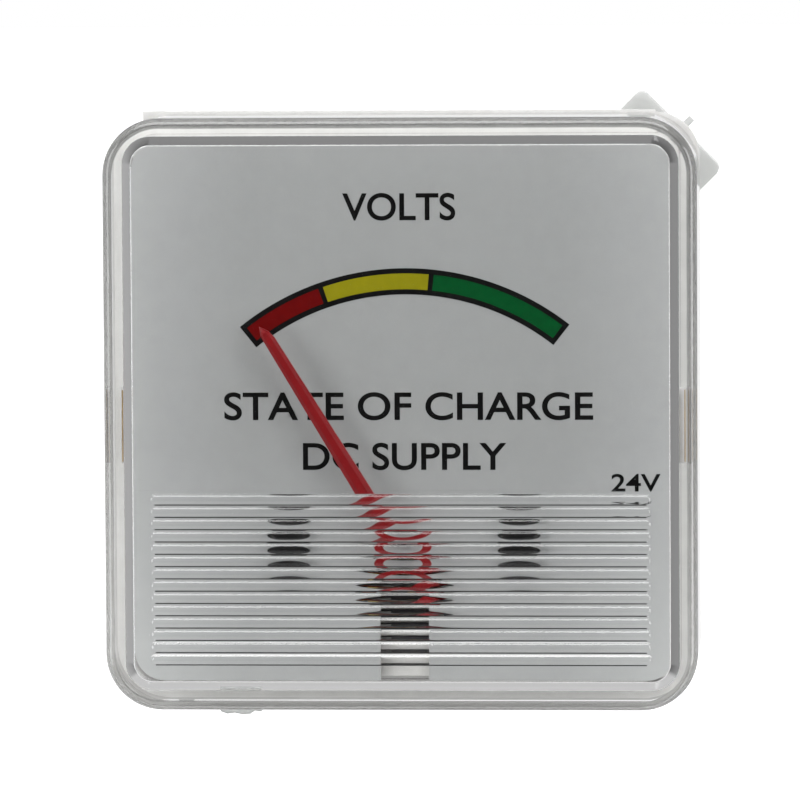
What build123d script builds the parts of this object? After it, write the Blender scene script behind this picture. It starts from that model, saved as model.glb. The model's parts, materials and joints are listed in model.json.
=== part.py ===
from build123d import *
import os
from math import cos, radians, sin

# Square panel voltmeter for watching a battery, in millimetres.
# X runs right and Z up as the dial is read, and Y runs back into the panel.
# The origin is the centre of the barrel in the plane of the flange that seats on the panel.
# The movement turns about a line along Y, below the centre of the dial.

# Front cover: a clear square box with a ribbed lower window
FRONT = 48.0
CORNER_R = 4.6
FLANGE_T = 1.5
COVER_DEPTH = 11.5
COVER_WALL = 1.5
WINDOW_T = 1.6
FRONT_EDGE_R = 0.8
CAVITY_R = 2.3
CAVITY_CHAMFER = 0.75
LOWER_WINDOW_TOP = -6.15
LOWER_WINDOW_STEP = 0.1
RIB_COUNT = 14
RIB_PITCH = 1.0
RIB_TOP_Z = -6.83
RIB_R = 0.55
RIB_HALF_WIDTH = 0.46
RIB_LENGTH = 40.7
GATE_X = -13.2
GATE_Y = -10.2
GATE_SIZE = (3.4, 1.2, 0.55)

# Latch: a barbed tongue on each side of the base, and a pocket in the cover for its barb
LATCH_Z = -1.2
LATCH_WIDTH = 6.2
LATCH_TIP_Y = -6.2
LATCH_CATCH_Y = -4.4
LATCH_T = 0.9
BARB = 0.85
POCKET_SPARE = 0.2

# Base: flange, locating wall, round barrel and its bosses
FULL_CORNER_R = 3.6
SHADOW_GAP = (0.8, 0.6)
TOP_RAIL_X = (-21.8, 20.4)
TOP_RAIL_Z = (23.2, 24.2)
SLOT_TAB_WIDTH = 7.0
SLOT_TAB_TOP_Z = -19.0
SLOT_TAB_FRONT_Y = -3.3
SLOT_TAB_T = 0.5
UPSTAND_HEIGHT = 2.8
UPSTAND_WALL = 1.0
UPSTAND_GAP = 0.25
BARREL_R = 21.2
BARREL_WALL = 1.4
BARREL_LENGTH = 24.0
REAR_WALL = 1.8
FRAME_BOSS_R = 2.6
MARK_SIZE = 3.0
MARK_WIDTH = 0.8
MARK_HEIGHT = 0.3
MARK_Z = -3.0

# Fixing studs in two opposite corners, each with its square nut
STUD_OFFSET = 19.0
STUD_R = 1.5
STUD_ROOT_R = 1.25
STUD_END_Y = 20.0
STUD_BOSS_R = 2.2
STUD_HEAD_R = 2.0
STUD_HEAD_T = 1.1
NUT_SIDE = 9.5
NUT_CORNER_R = 0.7
NUT_Y = 8.0
NUT_T = 3.0
NUT_TAB = (0.6, 1.2, 0.6)

# Terminals in the rear wall
TERMINAL_X = 10.0
TERMINAL_Z = 6.0
TERMINAL_R = 2.0
TERMINAL_ROOT_R = 1.65
TERMINAL_END_Y = 35.0
TERMINAL_HEAD_R = 3.2
TERMINAL_HEAD_T = 1.6
TERMINAL_BOSS_R = 3.6
TERMINAL_BOSS_T = 2.5
WASHER_R = 4.4
WASHER_T = 0.8
TAG_T = 0.6
TAG_RING_R = 3.6
TAG_LENGTH = 9.0
TAG_WIDTH = 3.2
TERMINAL_NUT_AF = 7.0
TERMINAL_NUT_T = 3.0

# Dial plate, with a lens-shaped opening under the pivot and a slot down to its edge
DIAL_Y = -6.4
DIAL_T = 0.8
DIAL_SIZE = 44.2
DIAL_CORNER_R = 2.4
PIVOT_Z = -11.7
OPENING_R = 5.15
OPENING_DROP = 6.3
SLOT_WIDTH = 4.0
POST_X = 9.4
POST_Z = -10.85

# Small machine screws, nominal M2
M2_R = 1.0
M2_HOLE_R = 1.05
M2_HEAD_R = 1.75
M2_HEAD_T = 1.25
M2_SLOT = (0.5, 0.45)
THREAD_GAP = 0.02

# Pointer, one moulding: needle, ring and a neck that goes back through the dial opening
REST_ANGLE = 31.5
POINTER_Y = -8.65
POINTER_T = 0.6
NEEDLE_TIP = 22.0
NEEDLE_ROOT_HALF = 0.75
NEEDLE_TIP_HALF = 0.45
SPEAR_LENGTHS = (1.4, 1.1)
RING_R = 2.35
RING_HOLE_R = 1.6
NECK_HALF = 0.65
NECK_IN = 2.9
NECK_OUT = 4.4
ARM_Y = -3.6
ARM_T = 0.8
HUB_R = 1.2
TAIL_END = 8.2
TAIL_HALF = 0.8
CROSS_ARM = 4.8
CROSS_HALF = 0.4
WEIGHT_R = 0.8
WEIGHT_LENGTH = 1.6
WEIGHT_END_GAP = 0.2

# Staffs and jewel screws
STAFF_R = 0.35
TIP_R = 0.08
TIP_LENGTH = 0.7
STAFF_DISC_R = 1.0
STAFF_DISC_T = 0.4
COLLET_R = 0.75
JEWEL_R = 1.0
JEWEL_RECESS_R = 0.5
JEWEL_RECESS = 0.75
JEWEL_BACK_PROUD = 0.3
JEWEL_SHY = 0.1
JEWEL_SLOT_PROUD = 0.6
STAFF_END_GAP = 0.1

# Magnet system: a core magnet inside a yoke ring, carried by two upright brackets
MAGNET_LENGTH = 8.0
CORE_R = 4.2
YOKE_IN_R = 5.95
YOKE_R = 7.55
BRACKET_HALF = 1.5
BRACKET_T = 0.9
BRACKET_REACH = 7.3
PEG_R = 0.3
PEG_RADIUS = 3.7

# Coil, wound on a rectangular former that encloses the core
COIL_GAP = 0.3
FORMER_HALF = 4.65
FORMER_T = 0.25
FORMER_HALF_WIDTH = 2.0
WINDING_T = 0.45
WINDING_HALF_WIDTH = 1.8
WINDING_CORNER_R = 0.6

# Movement frame and bridges
FRAME_Y = 2.5
FRAME_T = 2.0
FRAME_R = 19.3
FRAME_TOP_Z = -1.0
FRAME_BOTTOM_Z = -16.5
FRAME_SCREW = (16.7, -5.5)
PILLAR_R = 1.7
PILLAR_HOLE = 5.0
HOLE_SPARE = 1.0
FRONT_BRIDGE_Y = -5.0
FRONT_BRIDGE_T = 1.2
REAR_BRIDGE_Y = 12.8
REAR_BRIDGE_T = 1.2
BRIDGE_HALF = 1.6
PAD_R = 2.4
STOP_LUG = (1.6, 1.3)
STOP_LUG_PLACE = (3.95, 2.15)

# Zero arm on the rear bridge, and the two hairsprings
ARM_BOSS_R = 1.7
ARM_BOSS_T = 0.6
ZERO_RUNNING_GAP = 0.05
ZERO_RING_R = 3.0
ZERO_ARM_T = 0.5
ZERO_ARM_REACH = 9.0
ZERO_ARM_WIDTH = 1.6
SPRING_HEIGHT = 0.4
SPRING_T = 0.12
SPRING_IN_R = 0.95
SPRING_PITCH = 0.66
FRONT_SPRING_Y = -2.65
REAR_SPRING_Y = 11.3

# Circuit board and its parts
BOARD_SIZE = (25.0, 15.0)
BOARD_Z = 6.5
BOARD_T = 1.2
BOARD_CORNER_R = 1.0
PART_LIFT = 0.3
RESISTOR_R = 1.25
RESISTOR_LENGTH = 6.5
RESISTOR_Z = 11.0
DIODE_R = 0.9
DIODE_LENGTH = 4.0
DIODE_Z = 7.5
LEAD_R = 0.3
LEAD_SPAN = 10.0
LEAD_BEND_R = 0.8
WIRE_R = 0.45
WIRE_BEND_R = 2.0
WIRE_X = 4.0
WIRE_Z = 1.5
WIRE_DROP = 8.0

# Stations worked out from the dimensions above
COVER_FRONT_Y = -FLANGE_T - COVER_DEPTH
WINDOW_BACK_Y = COVER_FRONT_Y + WINDOW_T
CAVITY = FRONT - 2 * COVER_WALL
RIB_AXIS_Y = COVER_FRONT_Y + (RIB_R**2 - RIB_HALF_WIDTH**2) ** 0.5
RIB_STRAIGHT = RIB_LENGTH - 2 * RIB_HALF_WIDTH
BARREL_IN_R = BARREL_R - BARREL_WALL
REAR_IN_Y = BARREL_LENGTH - REAR_WALL
BOARD_Y = REAR_IN_Y - TERMINAL_BOSS_T
COIL_FRONT_Y = -BRACKET_T - COIL_GAP
COIL_REAR_Y = MAGNET_LENGTH + BRACKET_T + COIL_GAP
COIL_STACK = FORMER_T + WINDING_T
STAFF_FRONT_Y = COIL_FRONT_Y - COIL_STACK
STAFF_REAR_Y = COIL_REAR_Y + COIL_STACK
FRAME_BACK_Y = FRAME_Y + FRAME_T
SPRING_TURNS = 4
STUD_PLACES = [(STUD_OFFSET, STUD_OFFSET), (-STUD_OFFSET, -STUD_OFFSET)]
TERMINAL_PLACES = [(-TERMINAL_X, TERMINAL_Z), (TERMINAL_X, TERMINAL_Z)]
FRAME_SCREW_PLACES = [(-FRAME_SCREW[0], FRAME_SCREW[1]), FRAME_SCREW]
POST_PLACES = [(-POST_X, POST_Z), (POST_X, POST_Z)]
PIVOT = (0, PIVOT_Z)


def front(y):
    """The plane at depth y as it is seen from the front; extruding from it comes forward."""
    return Plane(origin=(0, y, 0), x_dir=(1, 0, 0), z_dir=(0, -1, 0))


def moving(y):
    """The plane at depth y centred on the pivot, with its own y along the resting pointer."""
    lean = radians(REST_ANGLE)
    return Plane(origin=(0, y, PIVOT_Z), x_dir=(cos(lean), 0, sin(lean)), z_dir=(0, -1, 0))


def spiral(turns, inner_r, pitch):
    """Half circles end to end, each with its centre moved so that the line stays smooth."""
    step = pitch / 2
    for half in range(2 * turns):
        centre = step / 2 if half % 2 == 0 else -step / 2
        CenterArc((0, centre), inner_r + step * (half + 0.5), 90 + 180 * half, 180)


def save(builder, label):
    """Labels a finished piece and writes it under the same name."""
    builder.part.label = label
    export_step(builder.part, f"parts/{label}.step")


os.makedirs("parts", exist_ok=True)

# ---- Case -------------------------------------------------------------------------------

with BuildPart() as front_cover:
    with BuildSketch(front(-FLANGE_T)):
        RectangleRounded(FRONT, FRONT, CORNER_R)
    extrude(amount=COVER_DEPTH)
    fillet(front_cover.faces().sort_by(Axis.Y)[0].edges(), FRONT_EDGE_R)
    with BuildSketch(front(-FLANGE_T)):
        RectangleRounded(CAVITY, CAVITY, CAVITY_R)
    extrude(amount=COVER_DEPTH - WINDOW_T, mode=Mode.SUBTRACT)
    window_back = front_cover.faces().filter_by(Axis.Y).sort_by(Axis.Y)[1]
    chamfer(window_back.edges(), CAVITY_CHAMFER)
    # the lower part of the window is a little thicker, with a step across its inner face
    inner = CAVITY - 2 * CAVITY_CHAMFER
    step_height = inner / 2 + LOWER_WINDOW_TOP
    with Locations((0, WINDOW_BACK_Y + LOWER_WINDOW_STEP / 2, LOWER_WINDOW_TOP - step_height / 2)):
        Box(inner, LOWER_WINDOW_STEP, step_height)
    # each rib is part of a cylinder across the window with a spherical end
    rib_heights = [RIB_TOP_Z - RIB_PITCH * rib for rib in range(RIB_COUNT)]
    with Locations(*[(0, RIB_AXIS_Y, z) for z in rib_heights]):
        Cylinder(RIB_R, RIB_STRAIGHT, rotation=(0, 90, 0))
    for side in (-1, 1):
        with Locations(*[(side * RIB_STRAIGHT / 2, RIB_AXIS_Y, z) for z in rib_heights]):
            Sphere(RIB_R)
    # a pocket in each side wall takes the barb of the base's latch
    pocket_depth = BARB - UPSTAND_GAP + POCKET_SPARE
    pocket_length = LATCH_CATCH_Y - LATCH_TIP_Y + POCKET_SPARE
    for side in (-1, 1):
        pocket_x = side * (CAVITY + pocket_depth) / 2
        with Locations((pocket_x, LATCH_CATCH_Y + POCKET_SPARE - pocket_length / 2, LATCH_Z)):
            Box(pocket_depth, pocket_length, LATCH_WIDTH + 2 * POCKET_SPARE, mode=Mode.SUBTRACT)
    # what is left of the moulding gate on the underside
    with Locations((GATE_X, GATE_Y, -FRONT / 2)):
        Box(GATE_SIZE[0], GATE_SIZE[1], 2 * GATE_SIZE[2])
save(front_cover, "front_cover")

with BuildPart() as base_housing:
    with BuildSketch(front(0)):
        RectangleRounded(FRONT, FRONT, CORNER_R)
        # the two corners with a stud are fuller, and a low rail runs along the top edge
        with Locations((FRONT / 4, FRONT / 4), (-FRONT / 4, -FRONT / 4)):
            RectangleRounded(FRONT / 2, FRONT / 2, FULL_CORNER_R)
        with Locations((sum(TOP_RAIL_X) / 2, sum(TOP_RAIL_Z) / 2)):
            Rectangle(TOP_RAIL_X[1] - TOP_RAIL_X[0], TOP_RAIL_Z[1] - TOP_RAIL_Z[0])
        Circle(BARREL_IN_R, mode=Mode.SUBTRACT)
    extrude(amount=FLANGE_T)
    # a shadow gap runs round the flange behind the outer edge of the cover
    seat = FRONT - 2 * SHADOW_GAP[0]
    with BuildSketch(front(-FLANGE_T)):
        Rectangle(FRONT + CORNER_R, FRONT + CORNER_R)
        RectangleRounded(seat, seat, CORNER_R - SHADOW_GAP[0], mode=Mode.SUBTRACT)
    extrude(amount=-SHADOW_GAP[1], mode=Mode.SUBTRACT)
    upstand = CAVITY - 2 * UPSTAND_GAP
    with BuildSketch(front(-FLANGE_T)):
        RectangleRounded(upstand, upstand, CAVITY_R - UPSTAND_GAP)
        RectangleRounded(
            upstand - 2 * UPSTAND_WALL,
            upstand - 2 * UPSTAND_WALL,
            CAVITY_R - UPSTAND_GAP - UPSTAND_WALL,
            mode=Mode.SUBTRACT,
        )
    extrude(amount=UPSTAND_HEIGHT)
    # a tab on the upstand stands behind the foot of the dial's slot
    tab_foot_z = UPSTAND_WALL / 2 - upstand / 2
    with BuildSketch(front(SLOT_TAB_FRONT_Y + SLOT_TAB_T)):
        with Locations((0, (SLOT_TAB_TOP_Z + tab_foot_z) / 2)):
            Rectangle(SLOT_TAB_WIDTH, SLOT_TAB_TOP_Z - tab_foot_z)
    extrude(amount=SLOT_TAB_T)
    with BuildSketch(front(BARREL_LENGTH)):
        Circle(BARREL_R)
        Circle(BARREL_IN_R, mode=Mode.SUBTRACT)
    extrude(amount=BARREL_LENGTH)
    with BuildSketch(front(BARREL_LENGTH)):
        Circle(BARREL_R)
    extrude(amount=REAR_WALL)
    with BuildSketch(front(REAR_IN_Y)):
        with Locations(*FRAME_SCREW_PLACES):
            Circle(FRAME_BOSS_R)
    extrude(amount=REAR_IN_Y - FRAME_BACK_Y)
    with BuildSketch(front(REAR_IN_Y)):
        with Locations(*TERMINAL_PLACES):
            Circle(TERMINAL_BOSS_R)
    extrude(amount=TERMINAL_BOSS_T)
    with BuildSketch(front(-FLANGE_T)):
        with Locations(*STUD_PLACES):
            Circle(STUD_BOSS_R)
    extrude(amount=UPSTAND_HEIGHT)
    # holes for the studs, the terminals and the frame screws
    with BuildSketch(front(0)):
        with Locations(*STUD_PLACES):
            Circle(STUD_R + THREAD_GAP)
    extrude(amount=FLANGE_T + UPSTAND_HEIGHT, mode=Mode.SUBTRACT)
    with BuildSketch(front(BARREL_LENGTH)):
        with Locations(*TERMINAL_PLACES):
            Circle(TERMINAL_R + THREAD_GAP)
    extrude(amount=REAR_WALL + TERMINAL_BOSS_T, mode=Mode.SUBTRACT)
    with BuildSketch(front(FRAME_BACK_Y + PILLAR_HOLE)):
        with Locations(*FRAME_SCREW_PLACES):
            Circle(M2_R + THREAD_GAP)
    extrude(amount=PILLAR_HOLE, mode=Mode.SUBTRACT)
    # a springy tongue with a barb on each side
    tongue_x = upstand / 2
    for side in (-1, 1):
        with BuildSketch(Plane.XY.offset(LATCH_Z - LATCH_WIDTH / 2)):
            with BuildLine():
                Polyline(
                    (side * (tongue_x - LATCH_T), -FLANGE_T),
                    (side * tongue_x, -FLANGE_T),
                    (side * tongue_x, LATCH_CATCH_Y),
                    (side * (tongue_x + BARB), LATCH_CATCH_Y),
                    (side * tongue_x, LATCH_TIP_Y),
                    (side * (tongue_x - LATCH_T), LATCH_TIP_Y),
                    close=True,
                )
            make_face()
        extrude(amount=LATCH_WIDTH)
    # raised plus and minus marks under the terminals
    with BuildSketch(front(BARREL_LENGTH + MARK_HEIGHT)):
        with Locations((-TERMINAL_X, MARK_Z), (TERMINAL_X, MARK_Z)):
            Rectangle(MARK_SIZE, MARK_WIDTH)
        with Locations((-TERMINAL_X, MARK_Z)):
            Rectangle(MARK_WIDTH, MARK_SIZE)
    extrude(amount=MARK_HEIGHT)
save(base_housing, "base_housing")

with BuildPart() as fixing_studs:
    with BuildSketch(front(STUD_END_Y)):
        with Locations(*STUD_PLACES):
            Circle(STUD_R)
    extrude(amount=STUD_END_Y + FLANGE_T + UPSTAND_HEIGHT)
    # where the nut is screwed on, the stud is drawn at the root of its thread
    with BuildSketch(front(NUT_Y + NUT_T)):
        with Locations(*STUD_PLACES):
            Circle(STUD_R)
            Circle(STUD_ROOT_R, mode=Mode.SUBTRACT)
    extrude(amount=NUT_T, mode=Mode.SUBTRACT)
    with BuildSketch(front(-FLANGE_T - UPSTAND_HEIGHT)):
        with Locations(*STUD_PLACES):
            Circle(STUD_HEAD_R)
    extrude(amount=STUD_HEAD_T)
save(fixing_studs, "fixing_studs")

with BuildPart() as fixing_nuts:
    with BuildSketch(front(NUT_Y + NUT_T)):
        with Locations(*STUD_PLACES):
            RectangleRounded(NUT_SIDE, NUT_SIDE, NUT_CORNER_R, rotation=45)
            Circle(STUD_ROOT_R + THREAD_GAP, mode=Mode.SUBTRACT)
    extrude(amount=NUT_T)
    # a small leaf of gate plastic on each nut's outer side
    leaf_shift = (NUT_SIDE + NUT_TAB[1]) / 2 * cos(radians(45))
    with BuildSketch(front(NUT_Y + NUT_TAB[2])):
        for side in (-1, 1):
            with Locations((side * (STUD_OFFSET + leaf_shift), side * (STUD_OFFSET + leaf_shift))):
                Rectangle(NUT_TAB[0], NUT_TAB[1], rotation=-45)
    extrude(amount=NUT_TAB[2])
save(fixing_nuts, "fixing_nuts")

# ---- Terminals --------------------------------------------------------------------------

washer_back = BARREL_LENGTH + WASHER_T
tag_back = washer_back + TAG_T
terminal_nut_back = tag_back + TERMINAL_NUT_T

with BuildPart() as terminal_studs:
    with BuildSketch(front(TERMINAL_END_Y)):
        with Locations(*TERMINAL_PLACES):
            Circle(TERMINAL_R)
    extrude(amount=TERMINAL_END_Y - BOARD_Y + BOARD_T)
    with BuildSketch(front(terminal_nut_back)):
        with Locations(*TERMINAL_PLACES):
            Circle(TERMINAL_R)
            Circle(TERMINAL_ROOT_R, mode=Mode.SUBTRACT)
    extrude(amount=TERMINAL_NUT_T, mode=Mode.SUBTRACT)
    with BuildSketch(front(BOARD_Y - BOARD_T)):
        with Locations(*TERMINAL_PLACES):
            RegularPolygon(TERMINAL_HEAD_R, 6)
    extrude(amount=TERMINAL_HEAD_T)
save(terminal_studs, "terminal_studs")

with BuildPart() as terminal_washers:
    with BuildSketch(front(washer_back)):
        with Locations(*TERMINAL_PLACES):
            Circle(WASHER_R)
            Circle(TERMINAL_R + POCKET_SPARE, mode=Mode.SUBTRACT)
    extrude(amount=WASHER_T)
save(terminal_washers, "terminal_washers")

with BuildPart() as solder_tags:
    with BuildSketch(front(tag_back)):
        for x, z in TERMINAL_PLACES:
            with Locations((x, z)):
                Circle(TAG_RING_R)
            with Locations((x, z + TAG_LENGTH / 2)):
                SlotOverall(TAG_LENGTH + TAG_WIDTH, TAG_WIDTH, rotation=90)
            with Locations((x, z)):
                Circle(TERMINAL_R + POCKET_SPARE, mode=Mode.SUBTRACT)
            with Locations((x, z + TAG_LENGTH)):
                Circle(TAG_WIDTH / 4, mode=Mode.SUBTRACT)
    extrude(amount=TAG_T)
save(solder_tags, "solder_tags")

with BuildPart() as terminal_nuts:
    with BuildSketch(front(terminal_nut_back)):
        with Locations(*TERMINAL_PLACES):
            RegularPolygon(TERMINAL_NUT_AF / 2, 6, major_radius=False)
            Circle(TERMINAL_ROOT_R + THREAD_GAP, mode=Mode.SUBTRACT)
    extrude(amount=TERMINAL_NUT_T)
save(terminal_nuts, "terminal_nuts")

# ---- Dial -------------------------------------------------------------------------------

with BuildPart() as dial_plate:
    with BuildSketch(front(DIAL_Y)):
        RectangleRounded(DIAL_SIZE, DIAL_SIZE, DIAL_CORNER_R)
        with Locations(*POST_PLACES):
            Circle(M2_HOLE_R, mode=Mode.SUBTRACT)
    extrude(amount=DIAL_T)
    # the lens is where two equal circles overlap, one about the pivot and one below it
    with BuildSketch(front(DIAL_Y)):
        with Locations(PIVOT):
            Circle(OPENING_R)
        with Locations((0, PIVOT_Z - OPENING_DROP)):
            Circle(OPENING_R, mode=Mode.INTERSECT)
        slot_top = PIVOT_Z - OPENING_DROP / 2
        slot_length = slot_top + DIAL_SIZE / 2
        with Locations((0, slot_top - slot_length / 2)):
            Rectangle(SLOT_WIDTH, slot_length)
    extrude(amount=DIAL_T, mode=Mode.SUBTRACT)
save(dial_plate, "dial_plate")


def screws(builder, places, seat_y, length, facing):
    """Slotted pan-head screws under their seat; facing is 1 for heads in front, -1 behind."""
    top_y = seat_y - facing * M2_HEAD_T
    with BuildSketch(front(seat_y)) as shanks:
        with Locations(*places):
            Circle(M2_R)
    extrude(shanks.sketch, amount=-facing * length)
    with BuildSketch(front(seat_y)) as heads:
        with Locations(*places):
            Circle(M2_HEAD_R)
    extrude(heads.sketch, amount=facing * M2_HEAD_T)
    rims = builder.edges().filter_by_position(Axis.Y, top_y - THREAD_GAP, top_y + THREAD_GAP)
    fillet(rims, M2_HEAD_T / 2)
    with BuildSketch(front(top_y)) as slots:
        with Locations(*places):
            Rectangle(2 * M2_HEAD_R, M2_SLOT[0])
    extrude(slots.sketch, amount=-facing * M2_SLOT[1], mode=Mode.SUBTRACT)


with BuildPart() as dial_screws:
    dial_screw_length = DIAL_T - DIAL_Y + FRONT_BRIDGE_Y + PILLAR_HOLE - HOLE_SPARE
    screws(dial_screws, POST_PLACES, DIAL_Y - DIAL_T, dial_screw_length, 1)
save(dial_screws, "dial_screws")

# ---- Movement: frame, bridges and magnet ------------------------------------------------

with BuildPart() as movement_frame:
    frame_height = FRAME_TOP_Z - FRAME_BOTTOM_Z
    with BuildSketch(front(FRAME_BACK_Y)):
        Circle(FRAME_R)
        with Locations((0, (FRAME_TOP_Z + FRAME_BOTTOM_Z) / 2)):
            Rectangle(2 * FRAME_R, frame_height, mode=Mode.INTERSECT)
        with Locations(PIVOT):
            Circle(YOKE_R + THREAD_GAP, mode=Mode.SUBTRACT)
        with Locations(*FRAME_SCREW_PLACES):
            Circle(M2_HOLE_R, mode=Mode.SUBTRACT)
    extrude(amount=FRAME_T)
    # one pillar on each side carries the front bridge, the dial and the rear bridge
    with BuildSketch(front(REAR_BRIDGE_Y)):
        with Locations(*POST_PLACES):
            Circle(PILLAR_R)
    extrude(amount=REAR_BRIDGE_Y - FRONT_BRIDGE_Y)
    for y in (REAR_BRIDGE_Y, FRONT_BRIDGE_Y + PILLAR_HOLE):
        with BuildSketch(front(y)):
            with Locations(*POST_PLACES):
                Circle(M2_R + THREAD_GAP)
        extrude(amount=PILLAR_HOLE, mode=Mode.SUBTRACT)
save(movement_frame, "movement_frame")

with BuildPart() as frame_screws:
    screws(frame_screws, FRAME_SCREW_PLACES, FRAME_Y, FRAME_T + PILLAR_HOLE - HOLE_SPARE, 1)
save(frame_screws, "frame_screws")

with BuildPart() as front_bridge:
    with BuildSketch(front(FRONT_BRIDGE_Y)):
        with Locations(PIVOT):
            Rectangle(2 * POST_X, 2 * BRIDGE_HALF)
            # the lugs under the bar stop the pointer's neck at each end of its swing
            with Locations((-STOP_LUG_PLACE[0], -STOP_LUG_PLACE[1]), (STOP_LUG_PLACE[0], -STOP_LUG_PLACE[1])):
                Rectangle(*STOP_LUG)
        with Locations(*POST_PLACES):
            Circle(PAD_R)
    extrude(amount=FRONT_BRIDGE_T)
    with BuildSketch(front(FRONT_BRIDGE_Y - FRONT_BRIDGE_T)):
        with Locations(*POST_PLACES):
            Circle(PAD_R)
    extrude(amount=FRONT_BRIDGE_Y - FRONT_BRIDGE_T - DIAL_Y)
    with BuildSketch(front(FRONT_BRIDGE_Y)):
        with Locations(*POST_PLACES):
            Circle(M2_HOLE_R)
        with Locations(PIVOT):
            Circle(JEWEL_R + THREAD_GAP)
    extrude(amount=FRONT_BRIDGE_Y - DIAL_Y, mode=Mode.SUBTRACT)
save(front_bridge, "front_bridge")

with BuildPart() as rear_bridge:
    with BuildSketch(front(REAR_BRIDGE_Y + REAR_BRIDGE_T)):
        with Locations(PIVOT):
            Rectangle(2 * POST_X, 2 * BRIDGE_HALF)
        with Locations(*POST_PLACES):
            Circle(PAD_R)
    extrude(amount=REAR_BRIDGE_T)
    with BuildSketch(front(REAR_BRIDGE_Y)):
        with Locations(PIVOT):
            Circle(ARM_BOSS_R)
    extrude(amount=ARM_BOSS_T)
    with BuildSketch(front(REAR_BRIDGE_Y + REAR_BRIDGE_T)):
        with Locations(*POST_PLACES):
            Circle(M2_HOLE_R)
        with Locations(PIVOT):
            Circle(JEWEL_R + THREAD_GAP)
    extrude(amount=REAR_BRIDGE_T + ARM_BOSS_T, mode=Mode.SUBTRACT)
save(rear_bridge, "rear_bridge")

with BuildPart() as bridge_screws:
    rear_screw_length = REAR_BRIDGE_T + PILLAR_HOLE - HOLE_SPARE
    screws(bridge_screws, POST_PLACES, REAR_BRIDGE_Y + REAR_BRIDGE_T, rear_screw_length, -1)
save(bridge_screws, "bridge_screws")

front_jewel_back = FRONT_BRIDGE_Y + JEWEL_BACK_PROUD
front_jewel_front = FRONT_BRIDGE_Y - FRONT_BRIDGE_T - JEWEL_SHY
rear_jewel_front = REAR_BRIDGE_Y - ARM_BOSS_T + JEWEL_SHY
rear_jewel_back = REAR_BRIDGE_Y + REAR_BRIDGE_T + JEWEL_SLOT_PROUD
# each has a recess for the staff's tip at its inner end and a driver slot at its outer end
for label, back, length, recess_back, slot_back in (
    (
        "front_jewel_screw",
        front_jewel_back,
        front_jewel_back - front_jewel_front,
        front_jewel_back,
        front_jewel_front + M2_SLOT[1],
    ),
    (
        "rear_jewel_screw",
        rear_jewel_back,
        rear_jewel_back - rear_jewel_front,
        rear_jewel_front + JEWEL_RECESS,
        rear_jewel_back,
    ),
):
    with BuildPart() as jewel_screw:
        with BuildSketch(front(back)):
            with Locations(PIVOT):
                Circle(JEWEL_R)
        extrude(amount=length)
        with BuildSketch(front(recess_back)):
            with Locations(PIVOT):
                Circle(JEWEL_RECESS_R)
        extrude(amount=JEWEL_RECESS, mode=Mode.SUBTRACT)
        with BuildSketch(front(slot_back)):
            with Locations(PIVOT):
                Rectangle(2 * JEWEL_R, M2_SLOT[0])
        extrude(amount=M2_SLOT[1], mode=Mode.SUBTRACT)
    save(jewel_screw, label)

with BuildPart() as yoke_ring:
    with BuildSketch(front(MAGNET_LENGTH)):
        with Locations(PIVOT):
            Circle(YOKE_R)
            Circle(YOKE_IN_R, mode=Mode.SUBTRACT)
    extrude(amount=MAGNET_LENGTH)
save(yoke_ring, "yoke_ring")

with BuildPart() as core_magnet:
    with BuildSketch(front(MAGNET_LENGTH)):
        with Locations(PIVOT):
            Circle(CORE_R)
    extrude(amount=MAGNET_LENGTH)
save(core_magnet, "core_magnet")

with BuildPart() as front_core_bracket:
    with BuildSketch(front(0)):
        with Locations(PIVOT):
            Rectangle(2 * BRACKET_HALF, 2 * BRACKET_REACH)
    extrude(amount=BRACKET_T)
    with BuildSketch(front(-BRACKET_T)):
        with Locations((0, PIVOT_Z + PEG_RADIUS)):
            Circle(PEG_R)
    extrude(amount=-FRONT_SPRING_Y + SPRING_HEIGHT - BRACKET_T)
save(front_core_bracket, "front_core_bracket")

with BuildPart() as rear_core_bracket:
    with BuildSketch(front(MAGNET_LENGTH + BRACKET_T)):
        with Locations(PIVOT):
            Rectangle(2 * BRACKET_HALF, 2 * BRACKET_REACH)
    extrude(amount=BRACKET_T)
save(rear_core_bracket, "rear_core_bracket")

# ---- Movement: the turning parts --------------------------------------------------------

coil_middle_y = (COIL_FRONT_Y + COIL_REAR_Y) / 2
coil_window = COIL_REAR_Y - COIL_FRONT_Y
lean_cos = cos(radians(REST_ANGLE))
lean_sin = sin(radians(REST_ANGLE))
# this plane looks along the pointer; its x is the coil's cross direction and its y runs forward
coil_plane = Plane(
    origin=(0, coil_middle_y, PIVOT_Z),
    x_dir=(lean_cos, 0, lean_sin),
    z_dir=(-lean_sin, 0, lean_cos),
)

with BuildPart() as coil_former:
    with BuildSketch(coil_plane):
        Rectangle(2 * (FORMER_HALF + FORMER_T), coil_window + 2 * FORMER_T)
        Rectangle(2 * FORMER_HALF, coil_window, mode=Mode.SUBTRACT)
    extrude(amount=FORMER_HALF_WIDTH, both=True)
save(coil_former, "coil_former")

with BuildPart() as coil_winding:
    with BuildSketch(coil_plane):
        RectangleRounded(2 * (FORMER_HALF + COIL_STACK), coil_window + 2 * COIL_STACK, WINDING_CORNER_R)
        Rectangle(2 * (FORMER_HALF + FORMER_T), coil_window + 2 * FORMER_T, mode=Mode.SUBTRACT)
    extrude(amount=WINDING_HALF_WIDTH, both=True)
save(coil_winding, "coil_winding")


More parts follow.
